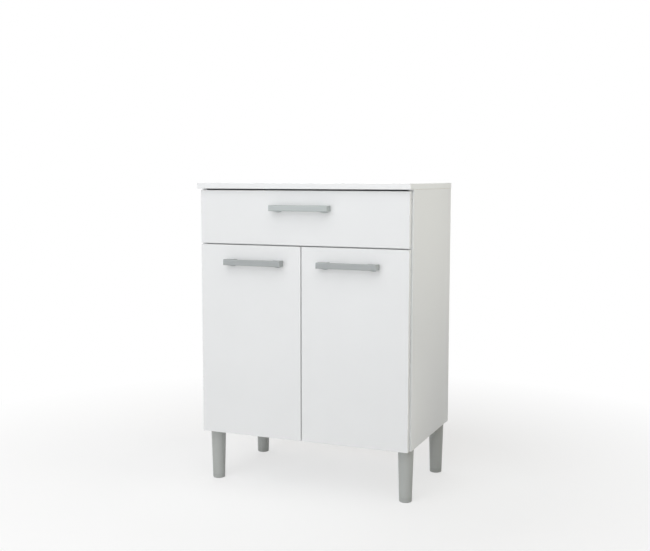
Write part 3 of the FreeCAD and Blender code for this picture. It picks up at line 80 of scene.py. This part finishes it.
# ---------------------------------------------------------------- material building blocks
class Surface:
    """A Principled material with short calls for the nodes around it."""

    def __init__(self, name, roughness=0.5, metallic=0.0, specular=0.5):
        self.material = bpy.data.materials.new(name)
        self.material.use_nodes = True
        self.tree = self.material.node_tree
        self.shader = self.tree.nodes["Principled BSDF"]
        self.shader.inputs["Roughness"].default_value = roughness
        self.shader.inputs["Metallic"].default_value = metallic
        self.shader.inputs["Specular IOR Level"].default_value = specular
        coordinates = self.tree.nodes.new("ShaderNodeTexCoord")
        self.place = coordinates.outputs["Object"]
        self.normal = coordinates.outputs["Normal"]

    def node(self, kind, **settings):
        """A new node with its settings."""
        made = self.tree.nodes.new(kind)
        for key, value in settings.items():
            setattr(made, key, value)
        return made

    def link(self, output, socket):
        """Join an output to a socket."""
        self.tree.links.new(output, socket)

    def feed(self, socket, value):
        """Link an output to a socket, or write a number or a colour there."""
        if isinstance(value, tuple):
            socket.default_value = (*value, 1.0)
        elif isinstance(value, (int, float)):
            socket.default_value = value
        else:
            self.link(value, socket)

    def stretched(self, scale):
        """Object coordinates, scaled along each axis."""
        mapping = self.node("ShaderNodeMapping")
        mapping.inputs["Scale"].default_value = scale
        self.link(self.place, mapping.inputs["Vector"])
        return mapping.outputs["Vector"]

    def noise(self, per_metre, detail=3.0, roughness=0.55, stretch=(1, 1, 1), distortion=0.0):
        """Noise with about so many grains per metre."""
        made = self.node("ShaderNodeTexNoise")
        made.inputs["Scale"].default_value = per_metre
        made.inputs["Detail"].default_value = detail
        made.inputs["Roughness"].default_value = roughness
        made.inputs["Distortion"].default_value = distortion
        self.link(self.stretched(stretch), made.inputs["Vector"])
        return made.outputs["Fac"]

    def cells(self, per_metre, stretch=(1, 1, 1), output="Distance"):
        """Scattered cells: the distance to the middle of each, or a colour of its own."""
        made = self.node("ShaderNodeTexVoronoi")
        made.inputs["Scale"].default_value = per_metre
        self.link(self.stretched(stretch), made.inputs["Vector"])
        return made.outputs[output]

    def remap(self, value, low, high, to_low, to_high):
        """A value moved from one range to another, and held inside it."""
        made = self.node("ShaderNodeMapRange")
        for key, number in (("From Min", low), ("From Max", high), ("To Min", to_low), ("To Max", to_high)):
            made.inputs[key].default_value = number
        self.link(value, made.inputs["Value"])
        return made.outputs["Result"]

    def vary(self, noise, low, high):
        """A noise spread out between two numbers."""
        return self.remap(noise, *NOISE_SPAN, low, high)

    def beyond(self, value, threshold):
        """Mask: 1 where a value is beyond a threshold."""
        return self.remap(value, threshold * MASK_START, threshold, 0.0, 1.0)

    def mix(self, factor, first, second):
        """Colour between two colours, each a tuple or an output."""
        made = self.node("ShaderNodeMix", data_type="RGBA")
        self.link(factor, made.inputs["Factor"])
        self.feed(made.inputs["A"], first)
        self.feed(made.inputs["B"], second)
        return made.outputs["Result"]

    def math(self, operation, first, second=0.0):
        """One operation on numbers or outputs."""
        made = self.node("ShaderNodeMath", operation=operation)
        self.feed(made.inputs[0], first)
        self.feed(made.inputs[1], second)
        return made.outputs["Value"]

    def part(self, vector, axis):
        """One component of a vector."""
        split = self.node("ShaderNodeSeparateXYZ")
        self.link(vector, split.inputs["Vector"])
        return split.outputs[axis.upper()]

    def mottle(self, noise, colour, darker, lighter):
        """A colour that follows a noise between a darker and a lighter share of itself."""
        return self.mix(self.vary(noise, 0.0, 1.0), shade(colour, darker), shade(colour, lighter))

    def colour(self, output):
        """Take the base colour from an output."""
        self.link(output, self.shader.inputs["Base Color"])

    def roughness(self, output):
        """Take the roughness from an output."""
        self.link(output, self.shader.inputs["Roughness"])

    def bump(self, height, relief, strength=1.0, under=None):
        """Bump with a relief in metres, on top of another bump where one is given."""
        made = self.node("ShaderNodeBump")
        made.inputs["Distance"].default_value = relief
        self.feed(made.inputs["Strength"], strength)
        self.link(height, made.inputs["Height"])
        if under is not None:
            self.link(under, made.inputs["Normal"])
        self.link(made.outputs["Normal"], self.shader.inputs["Normal"])
        return made.outputs["Normal"]

    def depth_below(self, planes):
        """Distance from the nearest of some planes, each an axis and a place on it."""
        nearest = None
        for axis, place in planes:
            gap = self.math("ABSOLUTE", self.math("SUBTRACT", self.part(self.place, axis), place))
            nearest = gap if nearest is None else self.math("MINIMUM", nearest, gap)
        return nearest


def shade(colour, factor):
    """The same colour, lighter or darker."""
    return tuple(channel * factor for channel in colour)


# ---------------------------------------------------------------- finishes
RAW_DEPTH = 0.0003          # what lies deeper than this under every covered plane is bare chipboard
BAND_DEPTH = 0.0007         # what is covered but lies deeper than this under both faces is edge banding
RAW_ROUGHNESS = 0.88        # of bare chipboard
FLAT_GRAIN = 0.00003        # relief of a smooth moulded or pressed face
LACQUER_SMOOTHER = 0.3      # by how much lacquer is smoother than raw hardboard


def melamine(node, face_axis, banded):
    """White melamine board: a faint grain, banded edges, and bare chipboard on other edges and in holes."""
    low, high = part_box(node)
    faces = [(face_axis, corner[AXES.index(face_axis)]) for corner in (low, high)]
    bands = [(side[1], (low if side[0] == "-" else high)[AXES.index(side[1])]) for side in banded]
    surface = Surface("melamine_" + node, specular=0.42)
    grain = surface.noise(per_metre=1400, detail=4.0)
    haze = surface.noise(per_metre=5.0, detail=2.0)
    face = surface.mottle(haze, WHITE, darker=0.988, lighter=1.008)
    on_edge = surface.beyond(surface.depth_below(faces), BAND_DEPTH)
    # painted light: the banded edges are lighter than the faces
    covered = surface.mix(on_edge, face, shade(WHITE, BAND_PAINTED_LIGHT))
    raw = surface.beyond(surface.depth_below(faces + bands), RAW_DEPTH)
    chips = surface.cells(per_metre=420, stretch=(1, 1, 1.6), output="Color")
    chip_tone = surface.part(chips, "x")
    fines = surface.noise(per_metre=1500, detail=4.0, roughness=0.7)
    particles = surface.mix(chip_tone, CHIP_LIGHT, CHIP_DARK)
    dust = surface.vary(fines, low=0.0, high=0.5)
    particles = surface.mix(dust, particles, shade(CHIP_LIGHT, CHIP_FINES))
    surface.colour(surface.mix(raw, covered, particles))
    satin = surface.vary(grain, low=0.36, high=0.48)
    satin = surface.math("ADD", satin, surface.vary(haze, low=-0.03, high=0.03))
    surface.roughness(surface.math("MAXIMUM", satin, surface.math("MULTIPLY", raw, RAW_ROUGHNESS)))
    waves = surface.noise(per_metre=60, detail=2.0)
    broad = surface.bump(waves, relief=0.00006)
    fine = surface.bump(grain, relief=FLAT_GRAIN, under=broad)
    surface.bump(chip_tone, relief=0.00025, strength=raw, under=fine)
    return surface.material


def hardboard():
    """Thin hardboard: pressed brown fibres behind, white lacquer on the face that looks into the cabinet."""
    surface = Surface("hardboard_back", specular=0.35)
    fibres = surface.noise(per_metre=420, detail=6.0, roughness=0.7, stretch=(1, 1, 0.45), distortion=0.6)
    clouds = surface.noise(per_metre=9)
    brown = surface.mottle(fibres, HARDBOARD, darker=0.72, lighter=1.3)
    cloudy = surface.vary(clouds, low=0.0, high=0.35)
    brown = surface.mix(cloudy, brown, shade(HARDBOARD, HARDBOARD_CLOUD))
    lacquered = surface.mottle(clouds, LACQUER, darker=0.98, lighter=1.01)
    forward = surface.math("MULTIPLY", surface.part(surface.normal, "y"), -1.0)
    inward = surface.beyond(forward, FACING)
    surface.colour(surface.mix(inward, brown, lacquered))
    raw_roughness = surface.vary(fibres, low=0.66, high=0.84)
    smoother = surface.math("MULTIPLY", inward, LACQUER_SMOOTHER)
    surface.roughness(surface.math("SUBTRACT", raw_roughness, smoother))
    surface.bump(fibres, relief=0.00012)
    return surface.material


def lacquered_hardboard():
    """White-lacquered drawer bottom, brown on its underside and edges."""
    surface = Surface("lacquered_hardboard", specular=0.4)
    fibres = surface.noise(per_metre=500, detail=5.0, roughness=0.65)
    upward = surface.beyond(surface.part(surface.normal, "z"), FACING)
    brown = surface.mottle(fibres, HARDBOARD, darker=0.75, lighter=1.25)
    lacquered = surface.mottle(fibres, LACQUER, darker=0.97, lighter=1.02)
    surface.colour(surface.mix(upward, brown, lacquered))
    surface.roughness(surface.vary(fibres, low=0.42, high=0.6))
    surface.bump(fibres, relief=0.00005)
    return surface.material


def grey_plastic(name, colour, stretch, specular):
    """Satin injection-moulded plastic with a fine spark texture and soft flow marks."""
    surface = Surface(name, specular=specular)
    spark = surface.noise(per_metre=2600)
    flow = surface.noise(per_metre=30, stretch=stretch)
    tone = surface.mottle(flow, colour, darker=0.97, lighter=1.04)
    # painted shade over the spark texture
    painted_spark_shade = surface.vary(spark, low=0.0, high=0.35)
    surface.colour(surface.mix(painted_spark_shade, tone, shade(colour, SPARK_PAINTED_SHADE)))
    surface.roughness(surface.vary(spark, low=0.3, high=0.42))
    surface.bump(spark, relief=FLAT_GRAIN)
    return surface.material


def zinc():
    """Bright zinc plate: faint spangle, drawn scratches and a little dulling."""
    surface = Surface("zinc_plated_steel", metallic=1.0)
    scratches = surface.noise(per_metre=260, detail=5.0, roughness=0.7, stretch=(1, 1, 9))
    spangle = surface.cells(per_metre=380)
    tone = surface.mix(spangle, shade(ZINC, ZINC_BRIGHT), shade(ZINC, ZINC_DARK))
    dulled = surface.vary(scratches, low=0.0, high=0.3)
    surface.colour(surface.mix(dulled, tone, shade(ZINC, ZINC_DULL)))
    surface.roughness(surface.vary(scratches, low=0.24, high=0.42))
    surface.bump(scratches, relief=0.00001)
    return surface.material


def powder_coat():
    """White powder coat with its orange peel."""
    surface = Surface("white_powder_coat")
    peel = surface.noise(per_metre=700, detail=2.0)
    surface.colour(surface.mottle(peel, SLIDE_WHITE, darker=0.97, lighter=1.02))
    surface.roughness(surface.vary(peel, low=0.32, high=0.46))
    surface.bump(peel, relief=0.00004)
    return surface.material


def nylon():
    """White nylon, slightly waxy."""
    surface = Surface("white_nylon", specular=0.4)
    wax = surface.noise(per_metre=900)
    surface.shader.inputs["Subsurface Weight"].default_value = 0.05
    surface.colour(surface.mottle(wax, NYLON, darker=0.96, lighter=1.03))
    surface.roughness(surface.vary(wax, low=0.4, high=0.54))
    surface.bump(wax, relief=FLAT_GRAIN)
    return surface.material


def beech():
    """Beech dowel with its grain along the cabinet's width."""
    surface = Surface("beech_dowel", specular=0.3)
    grain = surface.noise(per_metre=320, detail=5.0, stretch=(0.12, 1, 1), distortion=0.4)
    surface.colour(surface.mottle(grain, BEECH, darker=0.8, lighter=1.15))
    surface.roughness(surface.vary(grain, low=0.55, high=0.72))
    surface.bump(grain, relief=0.00008)
    return surface.material


def clear_stop():
    """Soft clear polyurethane stop."""
    surface = Surface("clear_stop")
    cloud = surface.noise(per_metre=800, detail=2.0)
    surface.shader.inputs["Transmission Weight"].default_value = 0.6
    surface.shader.inputs["IOR"].default_value = 1.45
    surface.colour(surface.mottle(cloud, CLEAR_STOP, darker=0.97, lighter=1.02))
    surface.roughness(surface.vary(cloud, low=0.16, high=0.28))
    return surface.material


# ---------------------------------------------------------------- finishes onto the frame's pieces
def dress(names, material):
    """Give CAD nodes one material."""
    for name in names:
        slots = nodes[name].data.materials
        if slots:
            for index in range(len(slots)):
                slots[index] = material
        else:
            slots.append(material)


BOARDS = (
    # nodes, axis that their faces look along, banded edges
    (("drawer_front", "left_door", "right_door"), "y", ("-x", "+x", "-z", "+z")),
    (("side_panel_left", "side_panel_right"), "x", ("-y",)),
    (("top_panel",), "z", ("-x", "+x", "-y")),
    (("floor_panel", "divider_panel", "shelf"), "z", ("-y",)),
    (("drawer_side_left", "drawer_side_right"), "x", ("+z",)),
    (("drawer_back",), "y", ("+z",)),
)
SLOT_FINISHES = (
    # material slot of the CAD record, finish
    ("white_steel", powder_coat),
    ("white_plastic", nylon),
    ("dowel_wood", beech),
    ("clear_stop", clear_stop),
    ("zinc_steel", zinc),
)
ALONG_LEG = (1, 1, 0.3)     # flow marks run along the piece
ALONG_HANDLE = (0.2, 1, 1)
LEG_SHEEN = 0.5             # specular levels
HANDLE_SHEEN = 0.26

for names, face_axis, banded in BOARDS:
    for name in names:
        dress([name], melamine(name, face_axis, banded))

dress(["back_panel"], hardboard())
dress(["drawer_bottom"], lacquered_hardboard())

legs = [name for name in nodes if name.startswith(("leg_front", "leg_back"))]
glide_grey = shade(LEG_GREY, GLIDE_SHADE)
dress(legs, grey_plastic("leg_plastic", LEG_GREY, ALONG_LEG, LEG_SHEEN))
dress(["foot_glides"], grey_plastic("glide_plastic", glide_grey, ALONG_LEG, LEG_SHEEN))
door_plastic = grey_plastic("door_handle_plastic", DOOR_HANDLE_GREY, ALONG_HANDLE, HANDLE_SHEEN)
# painted light: a lighter copy of the handle plastic, for the drawer handle
drawer_plastic_painted_light = grey_plastic("drawer_handle_painted_light_plastic", DRAWER_HANDLE_PAINTED_LIGHT_GREY, ALONG_HANDLE, HANDLE_SHEEN)
dress(["left_door_handle", "right_door_handle"], door_plastic)
dress(["drawer_handle"], drawer_plastic_painted_light)

slot_of = {part["node"]: part["material_slot"] for part in frame["record"]["subparts"]}
for slot, finish in SLOT_FINISHES:
    dress([name for name in nodes if slot_of[name] == slot], finish())

# ---------------------------------------------------------------- floor, backdrop and light
FLOOR_SIZE = 14.0
FLOOR_PALE = (0.80, 0.80, 0.80)     # what the floor throws back onto the stand
FLOOR_MOTTLE = 0.99         # its darker clouds
FLOOR_SEEN = (0.98, 0.98, 0.98)     # and its paler look when seen directly
SHADOW_SHARE = 0.45         # how much of the floor's own light and shade shows near the stand
FADE_START = 0.6            # the floor turns into the white backdrop between these distances
FADE_END = 1.5
BACKDROP = (1.0, 1.0, 1.0)
SKY_LEFT = (1.0, 0.992, 1.03)       # light from the left, and warmer light from the right
SKY_RIGHT = (1.0, 0.990, 0.87)
WORLD_ZENITH = 0.57         # strength straight above, falling to nothing at the horizon


def seen_directly(surface):
    """1 for camera, mirror and glass rays, 0 for the rays that light the object."""
    path = surface.node("ShaderNodeLightPath")
    total = surface.math("MAXIMUM", path.outputs["Is Camera Ray"], path.outputs["Is Glossy Ray"])
    return surface.math("MAXIMUM", total, path.outputs["Is Transmission Ray"])


class Sky(Surface):
    """The same short calls on a world's nodes."""

    def __init__(self, name):
        self.world = bpy.data.worlds.new(name)
        self.world.use_nodes = True
        self.tree = self.world.node_tree
        self.tree.nodes.clear()
        self.place = self.node("ShaderNodeTexCoord").outputs["Generated"]

    def background(self, colour, strength):
        """Light of one colour and strength, each a value or an output."""
        made = self.node("ShaderNodeBackground")
        self.feed(made.inputs["Color"], colour)
        self.feed(made.inputs["Strength"], strength)
        return made.outputs["Background"]


def build_world():
    """Soft light from all round, stronger from above, and plain white where the camera looks."""
    sky = Sky("studio")
    scene.world = sky.world
    height = sky.math("MAXIMUM", sky.part(sky.place, "z"), 0.0)
    level = sky.math("MULTIPLY", height, WORLD_ZENITH)
    rightward = sky.remap(sky.part(sky.place, "x"), -1.0, 1.0, 0.0, 1.0)
    tint = sky.mix(rightward, SKY_LEFT, SKY_RIGHT)
    blend = sky.node("ShaderNodeMixShader")
    sky.link(seen_directly(sky), blend.inputs["Fac"])
    sky.link(sky.background(tint, level), blend.inputs[1])
    sky.link(sky.background(BACKDROP, 1.0), blend.inputs[2])
    output = sky.node("ShaderNodeOutputWorld")
    sky.link(blend.outputs["Shader"], output.inputs["Surface"])


def floor_material():
    """Pale matt floor that keeps the stand's soft shadow and fades into the white backdrop."""
    surface = Surface("pale_floor", roughness=0.9, specular=0.0)
    direct = seen_directly(surface)
    mottle = surface.noise(per_metre=3.0, detail=2.0)
    pale = surface.mix(mottle, FLOOR_PALE, shade(FLOOR_PALE, FLOOR_MOTTLE))
    surface.colour(surface.mix(direct, pale, FLOOR_SEEN))
    distance = surface.node("ShaderNodeVectorMath", operation="LENGTH")
    surface.link(surface.place, distance.inputs[0])
    share = surface.remap(distance.outputs["Value"], FADE_START, FADE_END, SHADOW_SHARE, 0.0)
    white = surface.node("ShaderNodeEmission")
    surface.feed(white.inputs["Color"], BACKDROP)
    blend = surface.node("ShaderNodeMixShader")
    faded = surface.math("SUBTRACT", 1.0, share)
    surface.link(surface.math("MULTIPLY", direct, faded), blend.inputs["Fac"])
    surface.link(surface.shader.outputs["BSDF"], blend.inputs[1])
    surface.link(white.outputs["Emission"], blend.inputs[2])
    surface.link(blend.outputs["Shader"], surface.tree.nodes["Material Output"].inputs["Surface"])
    return surface.material


def build_floor():
    """Square floor at z = 0, staged so that it isn't part of the object."""
    half = FLOOR_SIZE / 2
    corners = [(x * half, y * half, 0) for x, y in ((-1, -1), (1, -1), (1, 1), (-1, 1))]
    mesh = bpy.data.meshes.new("studio_floor")
    mesh.from_pydata(corners, [], [(0, 1, 2, 3)])
    mesh.materials.append(floor_material())
    floor = bpy.data.objects.new("studio_floor", mesh)
    scene.collection.objects.link(floor)


def area_light(name, place, target, size, power, colour, spread):
    """Large soft lamp that looks at a point."""
    data = bpy.data.lights.new(name, "AREA")
    data.shape = "RECTANGLE"
    data.size, data.size_y = size
    data.energy = power
    data.color = colour
    data.spread = math.radians(spread)
    lamp = bpy.data.objects.new(name, data)
    scene.collection.objects.link(lamp)
    lamp.location = place
    lamp.rotation_euler = (Vector(target) - Vector(place)).to_track_quat("-Z", "Y").to_euler()


COOL = (0.966, 0.976, 1.0)  # the lamps' two colours
WARM = (1.0, 0.985, 0.885)
AIM_BEHIND_EDGE = 0.1       # where the cards look on the right side panel, from its front edge
AIM_BEFORE_EDGE = 0.05
AIM_ABOVE_FLOOR_PANEL = 0.06
middle = (cad_box[0] + cad_box[1]) / 2
low_middle = (0.0, 0.0, 0.35)       # in the doors' lower half
side_low, side_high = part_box("side_panel_right")
side_top = (side_high.x, side_low.y + AIM_BEHIND_EDGE, side_high.z)
side_foot = (side_high.x, side_low.y - AIM_BEFORE_EDGE, side_low.z + AIM_ABOVE_FLOOR_PANEL)
LAMPS = (
    # name, place, point that it looks at, width and height, watts, colour, spread in degrees
    ("front_softbox", (-0.5, -3.4, 1.5), middle, (3.0, 2.0), 37.7, COOL, 180),
    ("low_softbox", (-0.5, -3.4, 0.35), low_middle, (3.0, 0.6), 9.2, COOL, 180),
    ("top_softbox", (0.3, -1.8, 2.6), middle, (3.0, 2.0), 25.5, COOL, 180),
    ("side_card", (2.3, 0.0, 1.25), side_top, (0.6, 0.6), 0.86, WARM, 40),
    ("low_card", (1.3, -0.1, 0.45), side_foot, (0.25, 0.25), 0.025, WARM, 20),
    ("left_softbox", (-2.9, 1.4, 1.6), middle, (2.0, 2.0), 12.2, COOL, 180),
    ("back_softbox", (-1.4, 3.2, 1.6), middle, (3.0, 2.0), 30.6, COOL, 180),
)
build_world()
build_floor()
for lamp in LAMPS:
    area_light(*lamp)

# ---------------------------------------------------------------- camera
PICTURE_WIDTH = 650         # pixels
FOCAL_PIXELS = 973.57       # like the camera's place and turns, solved from the stand's straight edges
SENSOR = 36.0               # millimetres
CAMERA_PLACE = (1.02517, -2.48439, 0.83915)
CAMERA_YAW = math.radians(22.490)
CAMERA_PITCH = math.radians(5.730)
CAMERA_ROLL = math.radians(0.051)


def build_camera():
    """Camera at the viewing angle: turned left by the yaw, down by the pitch, and rolled about its axis."""
    data = bpy.data.cameras.new("camera")
    data.sensor_width = SENSOR
    data.lens = FOCAL_PIXELS * SENSOR / PICTURE_WIDTH
    camera = bpy.data.objects.new("camera", data)
    scene.collection.objects.link(camera)
    ahead = Vector((-math.sin(CAMERA_YAW), math.cos(CAMERA_YAW), 0))
    right = Vector((math.cos(CAMERA_YAW), math.sin(CAMERA_YAW), 0))
    up = Vector((0, 0, 1))
    look = ahead * math.cos(CAMERA_PITCH) - up * math.sin(CAMERA_PITCH)
    raised = up * math.cos(CAMERA_PITCH) + ahead * math.sin(CAMERA_PITCH)
    across = right * math.cos(CAMERA_ROLL) + raised * math.sin(CAMERA_ROLL)
    upright = raised * math.cos(CAMERA_ROLL) - right * math.sin(CAMERA_ROLL)
    turn = Matrix((across, upright, -look)).transposed().to_4x4()
    camera.matrix_world = Matrix.Translation(CAMERA_PLACE) @ turn
    scene.camera = camera


build_camera()
scene.view_settings.view_transform = "Standard"
